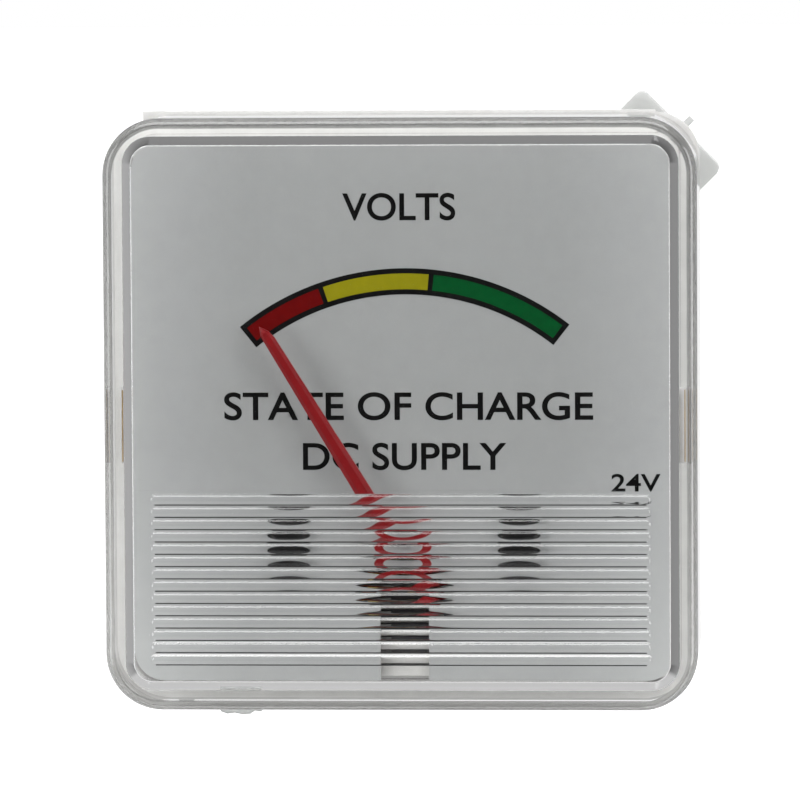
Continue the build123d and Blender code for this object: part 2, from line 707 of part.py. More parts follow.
def staff(root_y, shoulder_y, tip_y, collet):
    """A disc on the coil, a shaft, a collet for the hairspring and a coned tip."""
    facing = 1 if tip_y < root_y else -1
    for radius, start, length in (
        (STAFF_DISC_R, root_y, STAFF_DISC_T),
        (STAFF_R, root_y, abs(shoulder_y - root_y)),
        (COLLET_R, collet + SPRING_HEIGHT / 2 * facing, SPRING_HEIGHT),
    ):
        with BuildSketch(moving(start)) as section:
            Circle(radius)
        extrude(section.sketch, amount=facing * length)
    with BuildSketch(moving(shoulder_y)) as shoulder:
        Circle(STAFF_R)
    with BuildSketch(moving(tip_y)) as tip:
        Circle(TIP_R)
    loft([shoulder.sketch, tip.sketch])


front_shoulder_y = front_jewel_back + STAFF_END_GAP
rear_shoulder_y = rear_jewel_front - STAFF_END_GAP

with BuildPart() as front_staff:
    staff(STAFF_FRONT_Y, front_shoulder_y, front_shoulder_y - TIP_LENGTH, FRONT_SPRING_Y - SPRING_HEIGHT / 2)
save(front_staff, "front_staff")

with BuildPart() as rear_staff:
    staff(STAFF_REAR_Y, rear_shoulder_y, rear_shoulder_y + TIP_LENGTH, REAR_SPRING_Y - SPRING_HEIGHT / 2)
save(rear_staff, "rear_staff")

with BuildPart() as pointer:
    with BuildSketch(moving(POINTER_Y)):
        with BuildLine():
            Polyline(
                (-NEEDLE_ROOT_HALF, 0),
                (-NEEDLE_TIP_HALF, NEEDLE_TIP - SPEAR_LENGTHS[0]),
                (-NEEDLE_TIP_HALF / 3, NEEDLE_TIP),
                (NEEDLE_TIP_HALF, NEEDLE_TIP - SPEAR_LENGTHS[1]),
                (NEEDLE_ROOT_HALF, 0),
                close=True,
            )
        make_face()
        Circle(RING_R)
        with Locations((0, -(RING_HOLE_R + NECK_OUT) / 2)):
            Rectangle(2 * NECK_HALF, NECK_OUT - RING_HOLE_R)
        Circle(RING_HOLE_R, mode=Mode.SUBTRACT)
    extrude(amount=POINTER_T)
    # the neck goes back through the dial to the arm on the staff
    with BuildSketch(moving(ARM_Y)):
        with Locations((0, -(NECK_IN + NECK_OUT) / 2)):
            Rectangle(2 * NECK_HALF, NECK_OUT - NECK_IN)
    extrude(amount=ARM_Y - POINTER_Y)
    with BuildSketch(moving(ARM_Y)):
        Circle(HUB_R)
        with Locations((0, -NECK_OUT / 2)):
            Rectangle(2 * NECK_HALF, NECK_OUT)
        with Locations((0, -(NECK_IN + TAIL_END) / 2)):
            Rectangle(2 * TAIL_HALF, TAIL_END - NECK_IN)
        Rectangle(2 * CROSS_ARM, 2 * CROSS_HALF)
        Circle(STAFF_R, mode=Mode.SUBTRACT)
    extrude(amount=ARM_T)
save(pointer, "pointer")

with BuildPart() as balance_weights:
    weight_y = ARM_Y - ARM_T / 2
    weight_at = CROSS_ARM - WEIGHT_LENGTH / 2 - WEIGHT_END_GAP
    for side in (-1, 1):
        collar_plane = Plane(
            origin=(side * weight_at * lean_cos, weight_y, PIVOT_Z + side * weight_at * lean_sin),
            x_dir=(0, -1, 0),
            z_dir=(lean_cos, 0, lean_sin),
        )
        with BuildSketch(collar_plane):
            Circle(WEIGHT_R)
            Rectangle(ARM_T + THREAD_GAP, 2 * CROSS_HALF + THREAD_GAP, mode=Mode.SUBTRACT)
        extrude(amount=WEIGHT_LENGTH / 2, both=True)
save(balance_weights, "balance_weights")

# ---- Hairsprings and zero arm -----------------------------------------------------------

for label, spring_y in (("front_hairspring", FRONT_SPRING_Y), ("rear_hairspring", REAR_SPRING_Y)):
    with BuildPart() as hairspring:
        with BuildSketch(Plane(origin=(0, spring_y, PIVOT_Z), x_dir=(1, 0, 0), z_dir=(0, -1, 0))):
            with BuildLine():
                spiral(SPRING_TURNS, SPRING_IN_R, SPRING_PITCH)
            trace(line_width=SPRING_T)
        extrude(amount=SPRING_HEIGHT)
    save(hairspring, label)

spring_out_r = SPRING_IN_R + SPRING_PITCH * SPRING_TURNS
zero_back_y = REAR_BRIDGE_Y - ZERO_RUNNING_GAP

with BuildPart() as zero_arm:
    with BuildSketch(front(zero_back_y)):
        with Locations(PIVOT):
            Circle(ZERO_RING_R)
        with Locations((0, PIVOT_Z + ZERO_ARM_REACH / 2)):
            Rectangle(ZERO_ARM_WIDTH, ZERO_ARM_REACH)
        with Locations(PIVOT):
            Circle(ARM_BOSS_R + ZERO_RUNNING_GAP, mode=Mode.SUBTRACT)
    extrude(amount=ZERO_ARM_T)
    # the peg holds the outer end of the rear hairspring
    with BuildSketch(front(zero_back_y - ZERO_ARM_T)):
        with Locations((0, PIVOT_Z + spring_out_r + SPRING_T / 2 + PEG_R)):
            Circle(PEG_R)
    extrude(amount=zero_back_y - ZERO_ARM_T - REAR_SPRING_Y + SPRING_HEIGHT)
save(zero_arm, "zero_arm")

# ---- Circuit board ----------------------------------------------------------------------

with BuildPart() as circuit_board:
    with BuildSketch(front(BOARD_Y)):
        with Locations((0, BOARD_Z)):
            RectangleRounded(BOARD_SIZE[0], BOARD_SIZE[1], BOARD_CORNER_R)
        with Locations(*TERMINAL_PLACES):
            Circle(TERMINAL_R + THREAD_GAP, mode=Mode.SUBTRACT)
    extrude(amount=BOARD_T)
save(circuit_board, "circuit_board")


def axial_part(z, radius, length):
    """A round body lying across the board, with a bent lead at each end."""
    height = BOARD_Y - BOARD_T - radius - PART_LIFT
    with Locations((0, height, z)):
        Cylinder(radius, length, rotation=(0, 90, 0))
    half = LEAD_SPAN / 2
    with BuildLine() as lead:
        FilletPolyline(
            (-half, BOARD_Y - BOARD_T, z),
            (-half, height, z),
            (half, height, z),
            (half, BOARD_Y - BOARD_T, z),
            radius=LEAD_BEND_R,
        )
    with BuildSketch(Plane(origin=lead.line @ 0, z_dir=lead.line % 0)) as section:
        Circle(LEAD_R)
    sweep(section.sketch, path=lead.line)


with BuildPart() as series_resistor:
    axial_part(RESISTOR_Z, RESISTOR_R, RESISTOR_LENGTH)
save(series_resistor, "series_resistor")

with BuildPart() as zener_diode:
    axial_part(DIODE_Z, DIODE_R, DIODE_LENGTH)
save(zener_diode, "zener_diode")

with BuildPart() as movement_leads:
    # a wire from the board to the pillar on each side of the movement
    for side in (-1, 1):
        board_x = side * WIRE_X
        pillar_x = side * POST_X
        lead_z = POST_Z + PILLAR_R + WIRE_R
        with BuildLine() as wire:
            FilletPolyline(
                (board_x, BOARD_Y - BOARD_T, WIRE_Z),
                (board_x, BOARD_Y - WIRE_DROP, WIRE_Z),
                (pillar_x, BOARD_Y - WIRE_DROP, lead_z),
                (pillar_x, FRAME_BACK_Y, lead_z),
                radius=WIRE_BEND_R,
            )
        with BuildSketch(Plane(origin=wire.line @ 0, z_dir=wire.line % 0)):
            Circle(WIRE_R)
        sweep(path=wire.line)
save(movement_leads, "movement_leads")
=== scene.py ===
import json
import math

import bmesh
import bpy
from mathutils import Matrix, Vector


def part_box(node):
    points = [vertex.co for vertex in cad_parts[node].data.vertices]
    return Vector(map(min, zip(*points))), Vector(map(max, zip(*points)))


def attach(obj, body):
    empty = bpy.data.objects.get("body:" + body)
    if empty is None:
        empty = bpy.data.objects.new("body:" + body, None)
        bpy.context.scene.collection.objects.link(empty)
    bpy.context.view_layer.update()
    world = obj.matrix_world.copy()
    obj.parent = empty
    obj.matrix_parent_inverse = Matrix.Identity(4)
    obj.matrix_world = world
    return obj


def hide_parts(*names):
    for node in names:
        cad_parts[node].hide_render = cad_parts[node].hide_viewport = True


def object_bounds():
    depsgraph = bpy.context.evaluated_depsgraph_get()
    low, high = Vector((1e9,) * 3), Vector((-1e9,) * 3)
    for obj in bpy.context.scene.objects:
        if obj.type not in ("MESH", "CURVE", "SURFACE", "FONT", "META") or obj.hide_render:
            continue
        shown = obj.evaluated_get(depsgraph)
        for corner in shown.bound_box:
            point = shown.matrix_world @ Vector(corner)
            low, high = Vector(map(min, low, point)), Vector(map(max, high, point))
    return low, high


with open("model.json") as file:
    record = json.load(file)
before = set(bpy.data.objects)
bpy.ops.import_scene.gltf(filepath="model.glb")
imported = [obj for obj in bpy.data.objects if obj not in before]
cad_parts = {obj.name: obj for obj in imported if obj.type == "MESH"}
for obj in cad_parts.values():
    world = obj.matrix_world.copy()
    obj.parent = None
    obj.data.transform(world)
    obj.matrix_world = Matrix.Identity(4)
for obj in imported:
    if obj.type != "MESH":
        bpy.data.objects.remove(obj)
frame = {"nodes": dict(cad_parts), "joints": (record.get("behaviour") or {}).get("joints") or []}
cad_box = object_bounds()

MM = 0.001

# ---- Places that follow from the frame, in millimetres ------------------------------------

cover_lo, cover_hi = (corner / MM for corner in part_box("front_cover"))
dial_lo, dial_hi = (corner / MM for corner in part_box("dial_plate"))
swing = next(joint for joint in frame["joints"] if joint["name"] == "pointer_swing")
PIVOT_Z = swing["pos_m"][2] / MM
REST_ANGLE = 31.5

# cover section
HALF = cover_hi.x
RIB_R = 0.55
RIB_HALF = 0.46
RIB_HEIGHT = RIB_R - math.sqrt(RIB_R**2 - RIB_HALF**2)
FRONT_Y = cover_lo.y + RIB_HEIGHT
REAR_GAP = 0.02
REAR_Y = cover_hi.y - REAR_GAP
CORNER_R = 4.6
EDGE_R = 0.8
WALL = 1.5
WINDOW_T = 1.6
CAVITY_R = 2.3
CAVITY_CHAMFER = 0.75
CHAMFER_FOOT_R = 0.15
CHAMFER_FOOT = CHAMFER_FOOT_R * math.tan(math.radians(22.5))
STEP_Z = -6.15
STEP_T = 0.1
CORNER_STEPS = 14
EDGE_STEPS = 10
FOOT_STEPS = 4

# ribs
RIB_COUNT = 14
RIB_TOP_Z = -6.83
RIB_PITCH = 1.0
RIB_LENGTH = 40.7
RIB_STRAIGHT = RIB_LENGTH / 2 - RIB_HALF
RIB_STEPS = 20
RIB_END_STEPS = 18

# painted shade: a dark line along the foot of each rib
GROOVE_WIDTH = 0.09
GROOVE_SKIN = 0.004
GROOVE_PAST = 0.01
GROOVE_LIFT = 0.0001

# painted shade on the cover's rounded edge, as a grey tint: how far in from the outline, and how pale the
# tint is there
EDGE_SHADE_BANDS = ((0.88, 1.0), (0.78, 0.12), (0.64, 0.17), (0.56, 0.03), (0.44, 0.14), (0.2, 0.2), (0.0, 0.1))
EDGE_COOLNESS = 1.01
EDGE_NOISE_SCALE = 260.0
EDGE_WANDER = 0.04
EDGE_CLEAR_AT_FOOT = 0.45
EDGE_FADE = 0.1

# small pieces at the cover
GLUE_X, GLUE_Z = 22.9, -1.2
GLUE_HALF_LENGTH, GLUE_WIDTH, GLUE_T = 2.9, 0.08, 0.6
GLUE_FRONT_Y = -6.1
GATE_OUTLINE = (
    (-14.9, -23.99), (-14.86, -24.3), (-14.3, -24.5), (-13.7, -24.42), (-13.1, -24.54),
    (-12.4, -24.5), (-12.05, -24.25), (-11.5, -24.32), (-11.5, -23.99),
)
GATE_Y = (-10.8, -9.6)
TAB_SECTION = ((-6.36, -21.8), (-5.35, -19.0), (-5.27, -19.03), (-6.28, -21.83))
TAB_HALF = 3.4
SEAT_INSET, SEAT_OVERLAP = 0.25, 0.02
SEAT_Y = (REAR_Y + 0.004, REAR_Y + 0.016)
SMALL_BEVEL = 0.05

# studs: radius and thickness of the head, then crest radius, root radius and pitch of the thread
STUD_HEAD_R, STUD_HEAD_T = 2.0, 1.1
STUD_THREAD = (1.5, 1.25, 0.5)
HEAD_BEVEL = 0.1
TERMINAL_HEAD_R, TERMINAL_HEAD_T = 3.2, 1.6
TERMINAL_THREAD = (2.0, 1.65, 0.7)
THREAD_STEPS = 32
THREAD_ROWS = 8
THREAD_FLATNESS = 1.25
THREAD_END_CUT = 0.1
NUT_MARGIN = 0.1

# dial print
INK = 0.012
LETTER_WEIGHT = 0.014
ARC_X, ARC_Z = 0.22, -10.0
ARC_OUT, ARC_IN = 21.6, 19.47
ARC_LINE = 0.42
ARC_START, ARC_END = -38.8, 38.1
ARC_RED_END, ARC_YELLOW_END = -19.1, 5.7
# name, text, centre, height and width of each line of lettering
LEGENDS = (
    ("legend_unit", "VOLTS", -0.3, 16.6, 2.25, 9.2),
    ("legend_first", "STATE OF CHARGE", 0.4, 0.35, 2.3, 30.1),
    ("legend_second", "DC SUPPLY", 0.07, -3.75, 2.25, 16.6),
    ("legend_rating", "24V", 18.9, -5.9, 1.45, 4.0),
)
# painted light and shade on the dial: the paint's factor along Z and away from the middle
DIAL_PAINTED_LIGHT = (
    ("Z", (-21.0, -3.0), (1.0, 0.79)),
    ("X", (13.0, 22.0), (1.0, 1.18)),
)

# pointer, drawn upright with its pivot at the origin
NEEDLE_T = 0.6
# distance from the pivot, half width and lean of each section of the needle
NEEDLE_SECTIONS = ((2.0, 0.72, 0.0), (20.6, 0.47, 0.0), (21.3, 0.36, -0.08))
NEEDLE_TIP = (-0.16, 22.0)
RIDGE_SHARE, SHOULDER_SHARE, TIP_SHARE = 0.45, 0.55, 0.3
ARM_T = 0.8
ARM_OUTLINE = ((-0.8, -8.2), (0.8, -8.2), (0.8, -2.9), (0.65, -1.0), (-0.65, -1.0), (-0.8, -2.9))
RING_R, RING_HOLE, RING_BEVEL = 2.35, 1.6, 0.14
NECK_HALF, NECK_TOP, NECK_IN, NECK_OUT = 0.65, 1.9, 2.9, 4.4
POST_STEP = 0.1
NECK_BEVEL, ARM_BEVEL, HUB_BEVEL = 0.12, 0.1, 0.08
HUB_R, HUB_HOLE = 1.2, 0.36
CROSS_HALF_LENGTH, CROSS_HALF = 4.8, 0.4

# camera
CAMERA_AZIMUTH = 3.6
CAMERA_ELEVATION = 4.25
CAMERA_ROLL = 0.32
CAMERA_DISTANCE = 550.0
CAMERA_AIM_X, CAMERA_AIM_Z = 0.05, 1.25
CAMERA_CLIP = (0.01, 50.0)
VIEW_WIDTH = 64.5
SENSOR = 36.0

# stage and light: azimuth, elevation, distance, size and radiance of each softbox
FLOOR_DROP = 120.0
FLOOR_HALF = 9000.0
FLOOR_SIGNS = ((-1, -1), (1, -1), (1, 1), (-1, 1))
SOFTBOXES = (
    ("top", 0, 62, 0.8, (0.9, 0.4), 5.0),
    ("left", -55, 4, 0.8, (0.36, 0.6), 4.5),
    ("right", 55, 4, 0.8, (0.36, 0.6), 4.5),
)
# studio surroundings: from each direction value to the next, the radiance rises from low to high;
# only straight in front of the window is it dark, so that nothing is mirrored in it
WORLD_RAMPS = (
    ("Y", (-0.25, 0.6), (0.02, 1.0)),
    ("Y", (-0.97, -0.88), (0.02, 0.14)),
    ("Z", (-0.3, -0.6), (0.0, 0.6)),
)

# welding distance in metres
WELD = 1e-7


# ---- Mesh helpers -------------------------------------------------------------------------

def put(name, mesh, material, body="case", node=None, flat_angle=28.0):
    """Names a mesh, shades it smooth between sharp edges, and rides it on its body."""
    obj = bpy.data.objects.new(name, mesh)
    bpy.context.scene.collection.objects.link(obj)
    mesh.materials.clear()
    mesh.materials.append(material)
    mesh.shade_smooth()
    mesh.set_sharp_from_angle(angle=math.radians(flat_angle))
    weighted = obj.modifiers.new("weighted_normals", "WEIGHTED_NORMAL")
    weighted.keep_sharp = True
    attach(obj, body)
    if node:
        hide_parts(node)
    return obj


def clean(mesh):
    """Joins points that coincide and turns every face outwards."""
    bm = bmesh.new()
    bm.from_mesh(mesh)
    bmesh.ops.remove_doubles(bm, verts=bm.verts, dist=WELD)
    bmesh.ops.recalc_face_normals(bm, faces=bm.faces)
    bm.to_mesh(mesh)
    bm.free()


def mesh_from(verts, faces):
    """A clean mesh in metres from points in millimetres."""
    mesh = bpy.data.meshes.new("mesh")
    mesh.from_pydata([Vector(v) * MM for v in verts], [], faces)
    mesh.validate()
    clean(mesh)
    return mesh


def mesh_of_curve(curve):
    """The mesh that Blender makes of a curve or text, which is then removed."""
    carrier = bpy.data.objects.new("carrier", curve)
    bpy.context.scene.collection.objects.link(carrier)
    bpy.context.view_layer.update()
    mesh = bpy.data.meshes.new_from_object(carrier.evaluated_get(bpy.context.evaluated_depsgraph_get()))
    bpy.data.objects.remove(carrier)
    bpy.data.curves.remove(curve)
    return mesh


def rounded_loop(half, radius, y, steps=CORNER_STEPS):
    """A rounded square in the plane at depth y, as points going round from the top right."""
    points = []
    inner = half - radius
    for quarter, (sx, sz) in enumerate(((1, 1), (-1, 1), (-1, -1), (1, -1))):
        for step in range(steps + 1):
            angle = math.radians(90 * (quarter + step / steps))
            x = sx * inner + radius * math.cos(angle)
            z = sz * inner + radius * math.sin(angle)
            points.append((x, y, z))
    return points


def skin(loops, close_ends=False):
    """Quads between neighbouring loops of equal length, and end faces if asked for."""
    verts = [point for loop in loops for point in loop]
    count = len(loops[0])
    faces = []
    for ring in range(len(loops) - 1):
        for at in range(count):
            after = (at + 1) % count
            low = ring * count
            faces.append((low + at, low + after, low + count + after, low + count + at))
    if close_ends:
        faces.append(tuple(range(count)))
        faces.append(tuple(range((len(loops) - 1) * count, len(loops) * count)))
    return verts, faces


def plate(loops, front_y, back_y, bevel=0.0, turn=None):
    """A flat piece from 2-D outlines (the first outside, the rest holes) with rounded edges."""
    curve = bpy.data.curves.new("outline", "CURVE")
    curve.dimensions = "2D"
    curve.fill_mode = "BOTH"
    for loop in loops:
        spline = curve.splines.new("POLY")
        spline.points.add(len(loop) - 1)
        for point, (x, z) in zip(spline.points, loop):
            point.co = (x * MM, z * MM, 0, 1)
        spline.use_cyclic_u = True
    curve.extrude = max((back_y - front_y) / 2 - bevel, 0) * MM
    curve.bevel_depth = bevel * MM
    curve.bevel_resolution = 2
    curve.offset = -bevel * MM
    mesh = mesh_of_curve(curve)
    mesh.transform(Matrix.Rotation(math.radians(90), 4, "X"))
    mesh.transform(Matrix.Translation((0, (front_y + back_y) / 2 * MM, 0)))
    if turn:
        mesh.transform(turn)
    clean(mesh)
    return mesh


def circle(radius, centre=(0.0, 0.0), start=0.0, sweep=360.0, count=64):
    """Points on a circle or an arc; angles run anticlockwise from +X."""
    whole = abs(sweep) >= 360
    steps = count if whole else count + 1
    return [
        (
            centre[0] + radius * math.cos(math.radians(start + sweep * at / count)),
            centre[1] + radius * math.sin(math.radians(start + sweep * at / count)),
        )
        for at in range(steps)
    ]


def join(meshes):
    """One mesh from several."""
    bm = bmesh.new()
    for mesh in meshes:
        bm.from_mesh(mesh)
        bpy.data.meshes.remove(mesh)
    whole = bpy.data.meshes.new("joined")
    bm.to_mesh(whole)
    bm.free()
    return whole


POINTER_TURN = (
    Matrix.Translation((0, 0, PIVOT_Z * MM))
    @ Matrix.Rotation(math.radians(-REST_ANGLE), 4, "Y")
)


# ---- Materials ----------------------------------------------------------------------------

def map_range(tree, source, start, end, low, high):
    """Takes source from the range start..end to low..high, held at both ends."""
    node = tree.nodes.new("ShaderNodeMapRange")
    for socket, value in (("From Min", start), ("From Max", end), ("To Min", low), ("To Max", high)):
        node.inputs[socket].default_value = value
    tree.links.new(source, node.inputs["Value"])
    return node.outputs["Result"]


def combine(tree, operation, first, second):
    """One number from two, by a maths operation."""
    node = tree.nodes.new("ShaderNodeMath")
    node.operation = operation
    tree.links.new(first, node.inputs[0])
    tree.links.new(second, node.inputs[1])
    return node.outputs["Value"]


def vector_step(tree, operation, source, constant=(0, 0, 0), output="Vector"):
    """One operation on a vector, with a constant for the operations that take one."""
    node = tree.nodes.new("ShaderNodeVectorMath")
    node.operation = operation
    node.inputs[1].default_value = constant
    tree.links.new(source, node.inputs[0])
    return node.outputs[output]


def material(
    name, dark, light, scale, rough=(0.4, 0.5), bump=0.0, metallic=0.0, stretch=(1, 1, 1), **inputs
):
    """A Principled surface whose colour, roughness and relief come from one layered noise."""
    mat = bpy.data.materials.new(name)
    mat.use_nodes = True
    tree = mat.node_tree
    nodes, links = tree.nodes, tree.links
    shader = nodes["Principled BSDF"]
    shader.inputs["Metallic"].default_value = metallic
    for socket, value in inputs.items():
        shader.inputs[socket.replace("_", " ")].default_value = value
    where = nodes.new("ShaderNodeTexCoord")
    mapping = nodes.new("ShaderNodeMapping")
    mapping.inputs["Scale"].default_value = stretch
    links.new(where.outputs["Object"], mapping.inputs["Vector"])
    noise = nodes.new("ShaderNodeTexNoise")
    noise.inputs["Scale"].default_value = scale
    noise.inputs["Detail"].default_value = 6.0
    noise.inputs["Roughness"].default_value = 0.6
    links.new(mapping.outputs["Vector"], noise.inputs["Vector"])
    ramp = nodes.new("ShaderNodeValToRGB")
    ramp.color_ramp.elements[0].position = 0.3
    ramp.color_ramp.elements[0].color = (*dark, 1)
    ramp.color_ramp.elements[1].position = 0.7
    ramp.color_ramp.elements[1].color = (*light, 1)
    links.new(noise.outputs["Fac"], ramp.inputs["Fac"])
    links.new(ramp.outputs["Color"], shader.inputs["Base Color"])
    links.new(map_range(tree, noise.outputs["Fac"], 0.0, 1.0, *rough), shader.inputs["Roughness"])
    if bump:
        relief = nodes.new("ShaderNodeBump")
        relief.inputs["Strength"].default_value = bump
        relief.inputs["Distance"].default_value = 0.05 * MM
        links.new(noise.outputs["Fac"], relief.inputs["Height"])
        links.new(relief.outputs["Normal"], shader.inputs["Normal"])
    return mat


def paint_light_into_dial(mat):
    """Paints light and shade into the dial's colour: darker above, paler towards the foot and the side
    edges.
    """
    tree = mat.node_tree
    base_colour = tree.nodes["Principled BSDF"].inputs["Base Color"]
    colour = base_colour.links[0].from_socket
    where = tree.nodes.new("ShaderNodeTexCoord")
    folded = vector_step(tree, "ABSOLUTE", where.outputs["Object"])
    factors = []
    for axis, (start, end), (low, high) in DIAL_PAINTED_LIGHT:
        split = tree.nodes.new("ShaderNodeSeparateXYZ")
        place = folded if axis == "X" else where.outputs["Object"]
        tree.links.new(place, split.inputs["Vector"])
        factors.append(map_range(tree, split.outputs[axis], start * MM, end * MM, low, high))
    scale = tree.nodes.new("ShaderNodeVectorMath")
    scale.operation = "SCALE"
    tree.links.new(colour, scale.inputs["Vector"])
    tree.links.new(combine(tree, "MULTIPLY", *factors), scale.inputs["Scale"])
    tree.links.new(scale.outputs["Vector"], base_colour)


def paint_shade_on_edge(mat):
    """Paints shade into the cover's rounded front edge, as a grey tint by distance from its outline."""
    tree = mat.node_tree
    where = tree.nodes.new("ShaderNodeTexCoord").outputs["Object"]
    # distance from the centre of the nearest corner's rounding
    corner_at = (HALF - CORNER_R) * MM
    flat = vector_step(tree, "MULTIPLY", where, (1, 0, 1))
    folded = vector_step(tree, "ABSOLUTE", flat)
    past = vector_step(tree, "SUBTRACT", folded, (corner_at, 0, corner_at))
    kept = vector_step(tree, "MAXIMUM", past)
    reach = vector_step(tree, "LENGTH", kept, output="Value")
    noise = tree.nodes.new("ShaderNodeTexNoise")
    noise.inputs["Scale"].default_value = EDGE_NOISE_SCALE
    noise.inputs["Detail"].default_value = 3.0
    tree.links.new(where, noise.inputs["Vector"])
    wander = map_range(tree, noise.outputs["Fac"], 0.0, 1.0, -EDGE_WANDER * MM, EDGE_WANDER * MM)
    span = EDGE_SHADE_BANDS[0][0]
    place = combine(tree, "ADD", reach, wander)
    along = map_range(tree, place, (CORNER_R - span) * MM, CORNER_R * MM, 0.0, 1.0)
    ramp = tree.nodes.new("ShaderNodeValToRGB")
    while len(ramp.color_ramp.elements) < len(EDGE_SHADE_BANDS):
        ramp.color_ramp.elements.new(1.0)
    for element, (inset, tint) in zip(ramp.color_ramp.elements, EDGE_SHADE_BANDS):
        element.position = 1 - inset / span
        element.color = (tint, tint * EDGE_COOLNESS, tint * EDGE_COOLNESS, 1)
    tree.links.new(along, ramp.inputs["Fac"])
    # the painted shade thins out towards the foot, and ends behind the rounded edge
    split = tree.nodes.new("ShaderNodeSeparateXYZ")
    tree.links.new(where, split.inputs["Vector"])
    thin = map_range(tree, split.outputs["Z"], -HALF * MM, HALF * MM, EDGE_CLEAR_AT_FOOT, 0.0)
    edge_end = FRONT_Y + EDGE_R
    behind = map_range(tree, split.outputs["Y"], edge_end * MM, (edge_end + EDGE_FADE) * MM, 0.0, 1.0)
    mix = tree.nodes.new("ShaderNodeMix")
    mix.data_type = "RGBA"
    mix.inputs["B"].default_value = (1, 1, 1, 1)
    tree.links.new(combine(tree, "MAXIMUM", thin, behind), mix.inputs["Factor"])
    tree.links.new(ramp.outputs["Color"], mix.inputs["A"])
    tree.links.new(mix.outputs["Result"], tree.nodes["Principled BSDF"].inputs["Base Color"])


cover_mat = material(
    "clear_plastic", (0.97, 0.98, 0.98), (1, 1, 1), 60, (0.0, 0.02),
    Transmission_Weight=1.0, IOR=1.55, Specular_IOR_Level=0.5,
)
# painted shade: a grey tint on the cover's rounded edge
paint_shade_on_edge(cover_mat)
# near black, for the painted shade at the foot of the ribs
groove_shade_mat = material("groove_painted_shade", (0.02, 0.02, 0.02), (0.05, 0.05, 0.05), 900, (0.5, 0.7))
dial_mat = material(
    "dial_paint", (0.385, 0.395, 0.392), (0.405, 0.415, 0.412), 900, (0.6, 0.75), 0.12,
    Specular_IOR_Level=0.2,
)
# painted light and shade in the dial's colour: darker above, paler at the foot and the sides
paint_light_into_dial(dial_mat)
gate_mat = material(
    "gate_stub", (0.5, 0.51, 0.5), (0.75, 0.76, 0.75), 1200, (0.2, 0.4), 0.3,
    Transmission_Weight=0.5, IOR=1.5,
)
# paler than the dial paint: painted light on the tab, which lies in the dial's shade
tab_painted_light_mat = material("slot_tab", (0.58, 0.58, 0.56), (0.64, 0.64, 0.62), 700, (0.5, 0.6), 0.12)
# paler than the case plastic: painted light on the seat behind the cover's walls
seat_painted_light_mat = material("cover_seat", (0.7, 0.7, 0.68), (0.76, 0.76, 0.74), 700, (0.4, 0.5), 0.12)
glue_mat = material("dry_glue", (0.3, 0.19, 0.06), (0.42, 0.28, 0.1), 900, (0.3, 0.4))
INK_SURFACE = {"scale": 1500, "rough": (0.6, 0.75), "Specular_IOR_Level": 0.03}
ink_mat = material("black_ink", (0.003, 0.003, 0.003), (0.006, 0.006, 0.006), **INK_SURFACE)
red_ink = material("red_ink", (0.105, 0.001, 0.001), (0.125, 0.002, 0.002), **INK_SURFACE)
yellow_ink = material("yellow_ink", (0.225, 0.21, 0.005), (0.25, 0.23, 0.007), **INK_SURFACE)
green_ink = material("green_ink", (0.0, 0.058, 0.013), (0.001, 0.07, 0.016), **INK_SURFACE)
pointer_mat = material(
    "pointer_plastic", (0.165, 0.002, 0.004), (0.2, 0.004, 0.006), 700, (0.3, 0.4), 0.1,
    Specular_IOR_Level=0.3,
)
case_mat = material(
    "case_plastic", (0.47, 0.465, 0.45), (0.53, 0.525, 0.51), 500, (0.38, 0.5), 0.25,
    Subsurface_Weight=1.0, Subsurface_Scale=0.005, Subsurface_Radius=(1, 1, 1),
)
black_mat = material("black_steel", (0.004, 0.004, 0.004), (0.008, 0.008, 0.008), 900, (0.12, 0.2), 0.05)
phenolic_mat = material("phenolic", (0.006, 0.006, 0.006), (0.015, 0.014, 0.013), 900, (0.4, 0.55), 0.2)
zinc_plate = material("plated_steel", (0.6, 0.6, 0.58), (0.72, 0.72, 0.7), 1200, (0.22, 0.36), 0.1, 1.0)
brass_mat = material("brass", (0.66, 0.46, 0.16), (0.78, 0.57, 0.24), 900, (0.18, 0.32), 0.1, 1.0)
tin_mat = material("tinned_brass", (0.62, 0.61, 0.57), (0.74, 0.73, 0.69), 1000, (0.25, 0.42), 0.2, 1.0)
steel_mat = material("yoke_steel", (0.02, 0.018, 0.016), (0.05, 0.045, 0.04), 800, (0.35, 0.5), 0.2, 0.6)
magnet_mat = material("magnet", (0.05, 0.05, 0.05), (0.09, 0.09, 0.09), 900, (0.35, 0.5), 0.2, 0.8)
zinc_mat = material("zinc", (0.05, 0.05, 0.05), (0.09, 0.09, 0.09), 900, (0.45, 0.6), 0.2, 0.5)
former_mat = material(
    "former_aluminium", (0.7, 0.7, 0.71), (0.8, 0.8, 0.81), 900, (0.25, 0.35), 0.1, 1.0
)
copper_mat = material(
    "copper_wire", (0.16, 0.03, 0.015), (0.4, 0.1, 0.05), 1500, (0.25, 0.4), 0.5, 0.6, (1, 12, 1)
)
bronze_mat = material("bronze", (0.55, 0.34, 0.14), (0.68, 0.45, 0.2), 1200, (0.22, 0.34), 0.05, 1.0)
board_mat = material("board", (0.3, 0.2, 0.08), (0.38, 0.27, 0.12), 1200, (0.4, 0.55), 0.2)
resistor_mat = material("resistor_body", (0.55, 0.45, 0.3), (0.62, 0.52, 0.36), 1200, (0.3, 0.4), 0.1)
diode_mat = material(
    "diode_glass", (0.4, 0.1, 0.04), (0.5, 0.16, 0.07), 900, (0.05, 0.12), Coat_Weight=0.5
)
wire_mat = material("wire_cover", (0.3, 0.3, 0.31), (0.38, 0.38, 0.39), 1500, (0.35, 0.5), 0.1)
nylon_mat = material(
    "nylon", (0.64, 0.65, 0.64), (0.7, 0.71, 0.7), 400, (0.3, 0.45), 0.15,
    Subsurface_Weight=0.6, Subsurface_Scale=0.001, Subsurface_Radius=(1, 1, 1), IOR=1.5,
)

